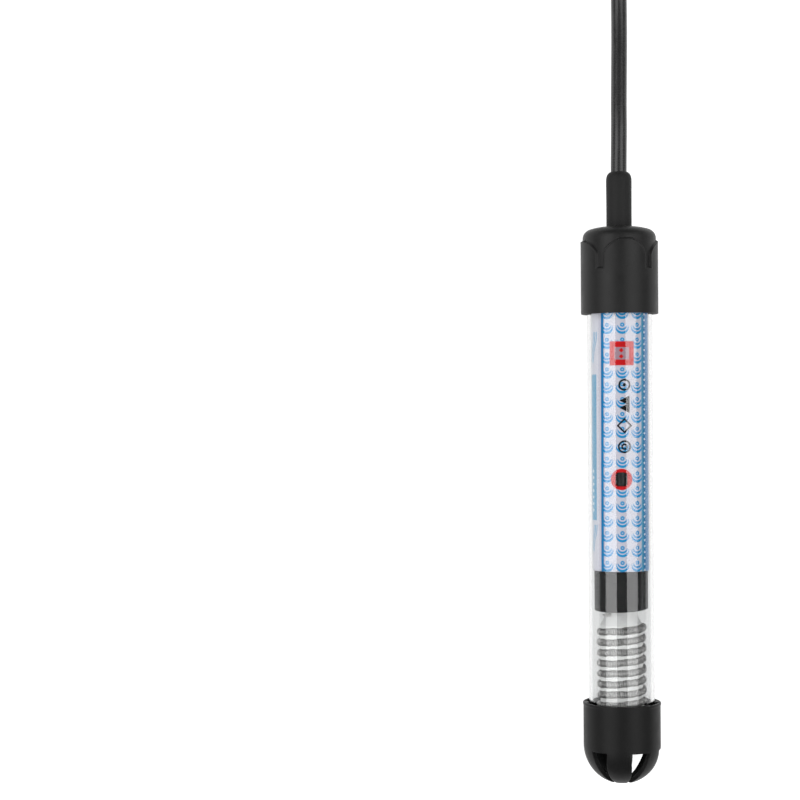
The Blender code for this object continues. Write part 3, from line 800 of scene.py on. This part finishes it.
def plug_body(rubber):
    """The plug's moulded body, rounded over at its ends, with grip ribs on its flanks."""
    low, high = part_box("plug_body")
    half_w = (high.x - low.x) / 2
    half_h = (high.z - low.z) / 2
    middle_z = (low.z + high.z) / 2
    rows = 90
    rounding = 22  # the body is this many times as long as each rounded end
    sections = []
    for i in range(rows + 1):
        t = i / rows
        from_end = min(t, 1 - t)
        end = 1.0
        if from_end < 1 / rounding:
            end = min(1.0, math.sqrt(max(0.0, 1 - (1 - from_end * rounding) ** 2)))
        neck = 0.66 + 0.34 * smooth(t / 0.75)
        height = 0.80 + 0.20 * smooth(t / 0.75)
        rib = 0.05 * (0.5 + 0.5 * math.cos(math.tau * (t - 0.45) * 11)) if 0.2 < t < 0.68 else 0.0
        inset = 0.0011 * (1 - end)
        width = half_w * (neck - rib) - inset
        sections.append((low.y + (high.y - low.y) * t, width, half_h * height - inset, 4.5, middle_z))
    mesh = loft("plug_moulding", sections)
    return link("plug_moulding", mesh, rubber, ("plug_body",))


def plug_boot(rubber, middle_z):
    """The plug's ribbed strain relief."""
    low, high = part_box("plug_boot")
    length = high.y - low.y
    profile = [(0, 0)]
    for i in range(61):
        t = i / 60
        radius = 0.0038 + 0.0016 * t
        groove = 0.0007 * max(0.0, math.sin(math.tau * (t - 0.12) * 5)) if 0.12 < t < 0.92 else 0.0
        profile.append((radius - groove, length * t))
    profile.append((0, length))
    mesh = along_y(lathe("plug_relief", profile, 64), (0, low.y, middle_z))
    return link("plug_relief", mesh, rubber, ("plug_boot",))


def plug_pin(side, brass):
    """A flat pin with a tapered tip."""
    node = f"plug_pin_{side}"
    low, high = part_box(node)
    sections = []
    for i in range(25):
        t = i / 24
        tip = max(0.0, (t - 0.88) / 0.12)
        width = (high.x - low.x) / 2 * (1 - 0.45 * tip**2)
        height = (high.z - low.z) / 2 * (1 - 0.38 * tip**2)
        sections.append((low.y + (high.y - low.y) * t, width, height, 7.0, (high.z + low.z) / 2))
    mesh = loft(f"pin_{side}", sections, 48)
    mesh.transform(Matrix.Translation(((high.x + low.x) / 2, 0, 0)))
    return link(f"pin_{side}", mesh, brass, (node,))


def plug_pieces():
    """The flat two-pin plug."""
    low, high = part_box("plug_body")
    rubber = moulded("plug_rubber", 0.016, 0.026, 0.5)
    brass = metal("pin_brass", (0.55, 0.40, 0.16, 1), (0.86, 0.68, 0.36, 1), 0.2)
    pieces = [plug_body(rubber), plug_boot(rubber, (low.z + high.z) / 2)]
    return pieces + [plug_pin(side, brass) for side in ("left", "right")]


def tie():
    """A plastic strap round the hank's waist."""
    low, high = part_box("cord_tie")
    thickness = 0.0006
    middle_y = (low.y + high.y) / 2
    half_y = (high.y - low.y) / 2
    outer = rounded_box(low.x, high.x, low.z, high.z, 0.0030)
    inner = rounded_box(
        low.x + thickness, high.x - thickness, low.z + thickness, high.z - thickness, 0.0025
    )
    shape = bmesh.new()
    loops = []
    for ring, y in ((outer, -half_y), (outer, half_y), (inner, half_y), (inner, -half_y)):
        loops.append([shape.verts.new((x, middle_y + y, z)) for x, z in ring])
    for first, second in zip(loops, loops[1:] + loops[:1]):
        strip(shape, first, second)
    mesh = finished("tie_strap", shape, outward=True)
    surface = moulded("strap_nylon", 0.016, 0.03, 0.35)
    strap = link("tie_strap", mesh, surface, ("cord_tie",))
    edge = strap.modifiers.new("edge", "BEVEL")
    edge.width = 0.00012
    edge.segments = 2
    edge.limit_method = "ANGLE"
    return strap


def rounded_box(low_x, high_x, low_z, high_z, radius, steps=10):
    """Points round a rectangle with round corners."""
    points = []
    corners = (
        (high_x - radius, high_z - radius, 0),
        (low_x + radius, high_z - radius, 90),
        (low_x + radius, low_z + radius, 180),
        (high_x - radius, low_z + radius, 270),
    )
    for x, z, start in corners:
        for i in range(steps + 1):
            angle = math.radians(start + 90 * i / steps)
            points.append((x + radius * math.cos(angle), z + radius * math.sin(angle)))
    return points


camera()
light()
flex = cord()
plug_set = plug_pieces()
strap = tie()


# The glass tube and what is in it


def glass_tube():
    """The test tube: a round closed end and a fire-polished mouth."""
    middle = GLASS_BOTTOM + GLASS_R
    inner_r = GLASS_R - GLASS_WALL
    profile = arc(middle, inner_r, 0, 90, 40)
    profile += [(inner_r, middle + (GLASS_TOP - middle) * i / 30) for i in range(1, 30)]
    profile += [(inner_r, GLASS_TOP - 0.0005), (inner_r + 0.0003, GLASS_TOP - 0.0001)]
    profile += [(GLASS_R - 0.0003, GLASS_TOP - 0.0001), (GLASS_R, GLASS_TOP - 0.0005)]
    profile += [(GLASS_R, GLASS_TOP - (GLASS_TOP - middle) * i / 30) for i in range(1, 30)]
    profile += arc(middle, GLASS_R, 90, 0, 40)
    mesh = laid(lathe("clear_tube", profile, 192))
    link("clear_tube", mesh, glass(), ("glass_tube",))


def label():
    """The printed film, rolled into a sleeve that laps over itself behind, with a lamp window."""
    window_half_u, window_half_v = 0.0021, 0.00250
    window_u, window_v = -0.0009, LAMP_MIDDLE
    corner = 0.0007
    lap = math.radians(14)
    rise = 0.00012

    def lines(low, high, spacing, middle, half):
        """Even grid lines, with the window's edges and corners among them."""
        marks = [middle - half, middle - half + corner, middle + half - corner, middle + half]
        count = round((high - low) / spacing)
        values = [low + (high - low) * i / count for i in range(count + 1)]
        values = [v for v in values if all(abs(v - m) > spacing * 0.4 for m in marks)]
        return sorted(values + marks)

    us = lines(-math.pi * LABEL_R, (math.pi + lap) * LABEL_R, 0.0004, window_u, window_half_u)
    vs = lines(LABEL_BOTTOM, LABEL_TOP, 0.0010, window_v, window_half_v)
    shape = bmesh.new()
    print_uv = shape.loops.layers.uv.new("print")
    grid = []
    for u in us:
        angle = u / LABEL_R
        over = smooth((angle - math.pi + lap) / lap) if angle > math.pi - lap else 0.0
        radius = LABEL_R - rise + rise * 2.4 * over
        grid.append([shape.verts.new((radius * math.sin(angle), -radius * math.cos(angle), v)) for v in vs])
    for i in range(len(us) - 1):
        for k in range(len(vs) - 1):
            off_u = abs((us[i] + us[i + 1]) / 2 - window_u)
            off_v = abs((vs[k] + vs[k + 1]) / 2 - window_v)
            inside = off_u < window_half_u and off_v < window_half_v
            at_corner = off_u > window_half_u - corner and off_v > window_half_v - corner
            if inside and not at_corner:
                continue
            ring = [(i, k), (i + 1, k), (i + 1, k + 1), (i, k + 1)]
            if inside:
                side = 1 if us[i] > window_u else -1
                level = 1 if vs[k] > window_v else -1
                inner = (i + (0 if side > 0 else 1), k + (0 if level > 0 else 1))
                ring.remove(inner)
            face = shape.faces.new([grid[a][b] for a, b in ring])
            for loop, (a, b) in zip(face.loops, ring):
                loop[print_uv].uv = (us[a], vs[b])
    mesh = finished("label_film", shape, smoothed=True)
    film = link("label_film", laid(mesh), label_print(), ("label_sleeve",))
    thick = film.modifiers.new("thickness", "SOLIDIFY")
    thick.thickness = 0.00010
    thick.offset = -1


def shield_band():
    """The black band under the label, its lower edge cut a little askew."""
    inner = SHIELD_R - SHIELD_WALL
    top = LABEL_BOTTOM - 0.0001
    corners = [(inner, top, 0.0001), (SHIELD_R, top, 0.0001)]
    corners += [(SHIELD_R, SHIELD_BOTTOM, 0.00015), (inner, SHIELD_BOTTOM, 0.00015)]
    mesh = lathe("shield_band", rounded(corners, 3), 144)
    across, front = 0.00045, 0.0006
    middle = (top + SHIELD_BOTTOM) / 2
    for corner in mesh.vertices:
        if corner.co.z < middle:
            corner.co.z += (across * corner.co.x + front * corner.co.y) / SHIELD_R
    surface = plain("shield_fibre", grey(0.007), grey(0.011), 0.6, 1400.0, gloss=0.12)
    link("shield_band", laid(mesh), surface, ("heat_shield_sleeve",))


def former():
    """The white ceramic core: a neck, a sloping shoulder, and a thread whose grooves hold the coil."""
    turns = (COIL_TOP - COIL_BOTTOM) / COIL_PITCH
    first_angle = COIL_END_ANGLE - math.tau * turns
    centre_r = COIL_R - COIL_ROLL_R
    seat_r = COIL_ROLL_R + 0.00003
    ridge_r = 0.0077
    shoulder_foot, shoulder_top = 0.0569, 0.0606
    foot_start, foot_end = 0.0175, 0.0187

    def core(height):
        """The core's radius where there is no groove."""
        if height > shoulder_foot:
            climb = min(1.0, (height - shoulder_foot) / (shoulder_top - shoulder_foot))
            return ridge_r + (FORMER_R - ridge_r) * (1 - (1 - climb) ** 1.5)
        return FORMER_R + (ridge_r - FORMER_R) * smooth((height - foot_start) / (foot_end - foot_start))

    def thread(angle, radius, height):
        if radius < FORMER_R:
            return 0.0
        surface = core(height)
        turn = (height - COIL_BOTTOM) / COIL_PITCH - (angle - first_angle) / math.tau
        nearest = max(round(turn), 0)
        along = (height - COIL_BOTTOM) / COIL_PITCH
        reached = turn - nearest
        beyond = along - reached > turns + 0.02 or along - reached < -0.02
        off = reached * COIL_PITCH
        if not beyond and abs(off) < seat_r:
            surface = min(surface, centre_r - math.sqrt(seat_r**2 - off**2))
        return surface - radius

    rows = 460
    top = FORMER_TOP - 0.0004
    span = top - FORMER_BOTTOM - 0.0004
    profile = [(FORMER_BORE, FORMER_TOP), (FORMER_R - 0.0004, FORMER_TOP)]
    profile += [(FORMER_R, top - span * i / rows) for i in range(rows + 1)]
    profile += [(FORMER_R - 0.0004, FORMER_BOTTOM), (FORMER_BORE, FORMER_BOTTOM)]
    mesh = laid(lathe("former_tube", profile, 120, thread))
    link("former_tube", mesh, fired_white(), ("ceramic_former",))


def coil():
    """The heating coil: fine wire wound into a tight roll, which is wound on the former."""
    wire_r = 0.00017
    roll_r = COIL_ROLL_R - wire_r
    centre_r = COIL_R - COIL_ROLL_R
    turns = (COIL_TOP - COIL_BOTTOM) / COIL_PITCH
    length = turns * math.tau * centre_r
    roll_pitch = 0.00054
    roll_turns = round(length / roll_pitch)
    steps_a_turn = 9
    count = roll_turns * steps_a_turn
    points = []
    for i in range(count + 1):
        share = i / count
        angle = COIL_END_ANGLE + math.tau * turns * (share - 1)
        out = Vector((math.sin(angle), -math.cos(angle), 0))
        along = Vector((0, 0, 1))
        centre = out * centre_r + along * (COIL_BOTTOM + (COIL_TOP - COIL_BOTTOM) * share)
        wander = 0.00010 * math.sin(share * 151.0) + 0.00007 * math.sin(share * 397.0 + 1.0)
        turn = math.tau * roll_turns * share + 0.5 * math.sin(share * 613.0)
        squeeze = 1 + 0.05 * math.sin(share * 877.0)
        reach = roll_r * squeeze
        outward = reach * math.cos(turn) + min(0.0, wander)
        points.append(LAY @ (centre + out * outward + along * (reach * math.sin(turn) + wander)))
    points += coil_tail(points[-1])
    curve = tube_curve("coil_winding", points, wire_r, 1)
    link("coil_winding", curve, winding(), ("heating_coil",))


def coil_tail(last):
    """The coil's own wire run round behind the neck, from its last turn to the crimp."""
    steps = 40
    neck_r = FORMER_R + 0.0006
    start_r = COIL_R - COIL_ROLL_R
    low, high = COIL_TOP + 0.0004, 0.0606
    sweep = math.tau + CRIMP_ANGLE - COIL_END_ANGLE
    route = [LAY.inverted() @ last]
    for i in range(steps + 1):
        share = i / steps
        angle = COIL_END_ANGLE + 0.15 + (sweep - 0.15) * share
        reach = start_r + (neck_r - start_r) * smooth(share * 3) + 0.0009 * smooth(share * 4 - 3)
        level = low + (high - low) * smooth(share * 1.4 - 0.2)
        route.append((reach * math.sin(angle), -reach * math.cos(angle), level))
    return [LAY @ p for p in smooth_curve(route, 0.0003)[1:]]


def crimp():
    """Where the coil's wire meets its lead: the two are twisted together and pinched."""
    low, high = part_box("coil_crimp")
    middle = LAY.inverted() @ ((low + high) / 2)
    length = high.y - low.y
    twist_r = 0.00042
    wire_r = 0.00038
    for side, phase in (("a", 0.0), ("b", math.pi)):
        points = []
        for i in range(61):
            share = i / 60
            turn = phase + math.tau * 1.6 * share
            spread = twist_r * (1 + 0.35 * math.sin(5 * share))
            across = middle.x + spread * math.cos(turn) + 0.0005 * (0.5 - share)
            place = (across, middle.y + spread * math.sin(turn), middle.z + length * (share - 0.5))
            points.append(LAY @ Vector(place))
        curve = tube_curve(f"crimp_wire_{side}", points, wire_r, 4)
        link(f"crimp_wire_{side}", curve, winding(), ("coil_crimp",))


def lamp():
    """The neon lamp behind the label's window: a sealed glass bulb, coloured near-black as painted shade.
    """
    low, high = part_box("indicator_lamp")
    radius = (high.x - low.x) / 2
    middle = Vector(((low.x + high.x) / 2, 0, (low.z + high.z) / 2))
    length = high.y - low.y
    profile = [(0, 0), (radius * 0.55, 0.0001), (radius * 0.9, 0.0008), (radius, 0.0018)]
    profile += [(radius, length * 0.7), (radius * 0.86, length * 0.82), (radius * 0.45, length * 0.93)]
    profile += [(0.0003, length * 0.985), (0, length)]
    fine = smooth_profile(profile, 0.0002)
    # Painted shade: the bulb is coloured near-black for the dark inside of the sleeve, which shows through
    # the real lamp's clear glass.
    bulb = plain("lamp_bulb", grey(0.006), grey(0.025), 0.12, 700.0, gloss=0.3)
    mesh = along_y(lathe("lamp_bulb", fine, 64), (middle.x, low.y, middle.z))
    link("lamp_bulb", mesh, bulb, ("indicator_lamp",))


def smooth_profile(profile, spacing):
    """A profile's points made close together on a smooth curve."""
    points = smooth_curve([(across, along, 0) for across, along in profile], spacing)
    return [(max(0.0, p.x), p.y) for p in points]


# The black mouldings


def guard():
    """The push-on bottom guard, a cup with a dome of slotted fingers."""
    bore = GLASS_R + 0.0003
    wall_r = OUTER_R - 0.00016
    pad_pitch = math.pi
    pad_half = math.radians(33)
    dome_r = wall_r + 0.00030
    dome_start = math.degrees(math.asin(GUARD_FLAT_R / wall_r))
    inner_start = math.degrees(math.asin(GUARD_HOLE_R / GUARD_INNER_DOME_R))
    profile = [(bore, GUARD_RIM), (OUTER_R - 0.0002, GUARD_RIM), (OUTER_R, GUARD_RIM - 0.0002)]
    profile += [(OUTER_R, GUARD_RIM - 0.0008), (wall_r, GUARD_RIM - 0.0011), (wall_r, 0.0180)]
    dome = arc(wall_r, dome_r, 90, dome_start, 40)
    profile += [(across * wall_r / dome_r, along) for across, along in dome]
    profile += [(GUARD_HOLE_R, dome[-1][1])]
    profile += arc(GUARD_DOME_R, GUARD_INNER_DOME_R, inner_start, 88, 30)
    profile += [(GUARD_INNER_DOME_R, 0.0178), (bore, 0.0198)]

    def lip(angle, radius, height):
        """The bead runs round the sides and is flush on the front and back pads."""
        if radius < wall_r + 0.00002 or height < 0.0270:
            return 0.0
        off = abs((angle + pad_pitch / 2) % pad_pitch - pad_pitch / 2)
        return (wall_r - radius) * (1 - smooth((off - pad_half) / 0.10))

    shell = lathe("guard_shell", profile, 240, lip)
    cutters = []
    past_wall, past_rim = 0.020, GUARD_RIM + 0.002
    for half in SLOT_HALF_WIDTHS:
        slot = box_mesh("slot", (-half, -past_wall, -0.001), (half, -0.002, SLOT_TOP))
        for corner in slot.vertices:
            if corner.co.z < 0:
                corner.co.x *= SLOT_FOOT_HALF_WIDTH / half
        cutters.append(slot)
    half = POCKET_WIDTH / 2
    for _ in POCKETS_DEG:
        cutters.append(box_mesh("pocket", (-half, -POCKET_R, POCKET_BOTTOM), (half, -0.010, past_rim)))
    for cutter, angle in zip(cutters, SLOTS_DEG + POCKETS_DEG):
        cutter.transform(Matrix.Rotation(math.radians(angle), 4, "Z"))
    mesh = laid(cut_and_soften(shell, cutters, 0.00017, 4))
    surface = moulded("guard_plastic", 0.005, 0.009, 0.44, gloss=0.115)
    link("guard_shell", mesh, surface, ("bottom_guard",), "guard")


def cap_relief(angle, radius, height):
    """How far the cap's four arched grips stand proud at a point of its side."""
    if radius < CAP_BASE_R - 0.0012 or height < CAP_BOTTOM + 0.0002:
        return 0.0
    before = max((math.radians(d) for d in GROOVES_DEG), key=lambda g: -((angle - g) % math.tau))
    after = min((math.radians(d) for d in GROOVES_DEG), key=lambda g: (g - angle) % math.tau)
    pitch = (after - before) % math.tau
    off = min((angle - before) % math.tau, (after - angle) % math.tau) * OUTER_R
    reach = OUTER_R * pitch / 2
    if height > ARCH_SPRING:
        climb = min(1.0, (height - ARCH_SPRING) / (ARCH_TOP - ARCH_SPRING))
        gap = reach - (reach - GROOVE_HALF_WIDTH) * math.sqrt(1 - climb**2)
        inward = (off - gap) * math.sqrt(1 - 0.72 * climb)
        inward = min(inward, ARCH_TOP - height + 0.0002)
    else:
        inward = max(off - GROOVE_HALF_WIDTH, GROOVE_BOTTOM - height)
    raised = smooth((inward + 0.00016) / 0.00032)
    rib = math.exp(-(((inward - 0.00042) / 0.00018) ** 2))
    rib_rise = 0.00012
    return (OUTER_R - CAP_BASE_R - rib_rise) * raised + rib_rise * rib * raised


def cap():
    """The top cap: domed shoulder and four arched grips, finely moulded."""
    bore = GLASS_R + 0.0003
    cord_bore = CORD_R + 0.0003
    roof = GLASS_TOP + 0.0003
    side = [(CAP_BASE_R, CAP_BOTTOM + 0.0002 * i) for i in range(1, 131)]
    shoulder = [(CAP_BASE_R, 0.1953), (0.01314, 0.1960), (0.01300, 0.1969), (0.01262, 0.1978)]
    shoulder += [(0.01200, 0.1985), (0.01110, 0.1991), (0.00980, 0.1995), (0.00840, 0.1998)]
    shoulder += [(0.00710, CAP_TOP), (0.00560, CAP_TOP)]
    profile = [(bore, CAP_BOTTOM + 0.0006), (bore + 0.0004, CAP_BOTTOM + 0.0002)]
    profile += [(OUTER_R - 0.0004, CAP_BOTTOM), (OUTER_R - 0.0001, CAP_BOTTOM + 0.00015)]
    profile += side + smooth_profile(shoulder, 0.0003)
    profile += [(cord_bore + 0.0002, CAP_TOP), (cord_bore, CAP_TOP - 0.0002)]
    profile += [(cord_bore, roof), (bore, roof)]
    mesh = laid(lathe("cap_shell", profile, 480, cap_relief))
    surface = moulded("cap_plastic", 0.007, 0.013, 0.44, gloss=0.18)
    link("cap_shell", mesh, surface, ("top_cap",))


def boot():
    """The soft sleeve that seals the cord's entry."""
    cord_bore = CORD_R + 0.00005
    foot = CAP_TOP + 0.0001
    profile = [(cord_bore, BOOT_TOP - 0.0004), (cord_bore + 0.00020, BOOT_TOP), (0.0033, BOOT_TOP)]
    outside = [(0.0033, BOOT_TOP), (0.00380, BOOT_TOP - 0.0004), (0.00425, BOOT_TOP - 0.0011)]
    outside += [(0.00452, BOOT_TOP - 0.0021), (BOOT_R, BOOT_TOP - 0.0034), (BOOT_R - 0.00002, 0.2120)]
    outside += [(BOOT_R - 0.00005, 0.2060), (BOOT_R - 0.00005, foot + 0.0003)]
    profile += smooth_profile(outside, 0.0004)[1:]
    profile += [(BOOT_R + 0.0001, foot), (cord_bore, foot)]
    mesh = laid(lathe("boot_sleeve", profile, 96))
    surface = moulded("boot_rubber", 0.010, 0.017, 0.6, 0.00003, 0.14)
    link("boot_sleeve", mesh, surface, ("cord_boot",))


# Nodes that stay as they are take a finer surface


def kept_nodes():
    """Materials for the inner pieces that show as the frame made them."""
    steel = metal("plain_steel", grey(0.35), grey(0.62), 0.28)
    brass = metal("inner_brass", (0.50, 0.36, 0.14, 1), (0.84, 0.66, 0.34, 1), 0.22)
    silver = metal("contact_silver", grey(0.6), grey(0.85), 0.2)
    wire = metal("bright_wire", grey(0.30), (0.52, 0.51, 0.50, 1), 0.3)
    rubber = plain("stopper_rubber", grey(0.018), grey(0.03), 0.6)
    seal = plain("seal_rubber", (0.24, 0.03, 0.02, 1), (0.36, 0.06, 0.05, 1), 0.45)
    mica = plain("mica_board", (0.36, 0.27, 0.16, 1), (0.52, 0.42, 0.28, 1), 0.4, 600.0, 0.00003)
    wool = plain("glass_wool", (0.74, 0.73, 0.68, 1), (0.92, 0.91, 0.88, 1), 0.9, 1800.0, 0.0002)
    board = plain("laminate", (0.22, 0.11, 0.04, 1), (0.36, 0.20, 0.09, 1), 0.45, 500.0, 0.00002)
    ferrite = plain("ferrite", grey(0.05), grey(0.1), 0.5)
    blue_case = plain("capacitor_case", (0.06, 0.15, 0.38, 1), (0.10, 0.22, 0.48, 1), 0.3)
    tan = plain("resistor_body", (0.50, 0.40, 0.26, 1), (0.66, 0.56, 0.40, 1), 0.4)
    can = metal("fuse_can", grey(0.5), grey(0.8), 0.3)
    brown = plain("brown_sleeve", (0.16, 0.07, 0.03, 1), (0.24, 0.11, 0.05, 1), 0.4)
    blue = plain("blue_sleeve", (0.03, 0.10, 0.34, 1), (0.05, 0.17, 0.46, 1), 0.4)
    surfaces = (
        (steel, ("cord_clamp", "bimetal_strip", "magnet_keeper", "fuse_lead")),
        (brass, ("bimetal_post", "contact_blade", "blade_post", "calibration_screw")),
        (brass, ("screw_bracket", "bracket_leg_left", "bracket_leg_right")),
        (brass, ("terminal_live", "terminal_neutral")),
        (silver, ("moving_contact", "fixed_contact")),
        (wire, ("coil_return_lead",)),
        (rubber, ("inner_stopper", "cord_inner_end")),
        (seal, ("seal_ring_upper", "seal_ring_lower")),
        (mica, ("shield_disc_lower", "shield_disc_upper", "spacer_lower", "spacer_upper")),
        (wool, ("glass_wool_pad",)),
        (board, ("thermostat_board",)),
        (ferrite, ("snap_magnet",)),
        (blue_case, ("suppression_capacitor",)),
        (tan, ("lamp_resistor",)),
        (can, ("thermal_fuse",)),
        (brown, ("live_wire", "element_wire")),
        (blue, ("neutral_wire",)),
    )
    for surface, nodes in surfaces:
        for node in nodes:
            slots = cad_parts[node].material_slots
            slots[0].link = "OBJECT"
            slots[0].material = surface


def floor():
    """A plain pale floor."""
    shape = bmesh.new()
    bmesh.ops.create_grid(shape, x_segments=1, y_segments=1, size=6.0)
    mesh = finished("floor", shape)
    g = Graph("floor_paint")
    g.surface(Base_Color=grey(0.45), Roughness=0.9, Emission_Color=grey(1.0), Emission_Strength=0.78)
    mesh.materials.append(g.material)
    placed("floor", mesh)


floor()
glass_tube()
label()
shield_band()
former()
coil()
crimp()
lamp()
guard()
cap()
boot()
kept_nodes()
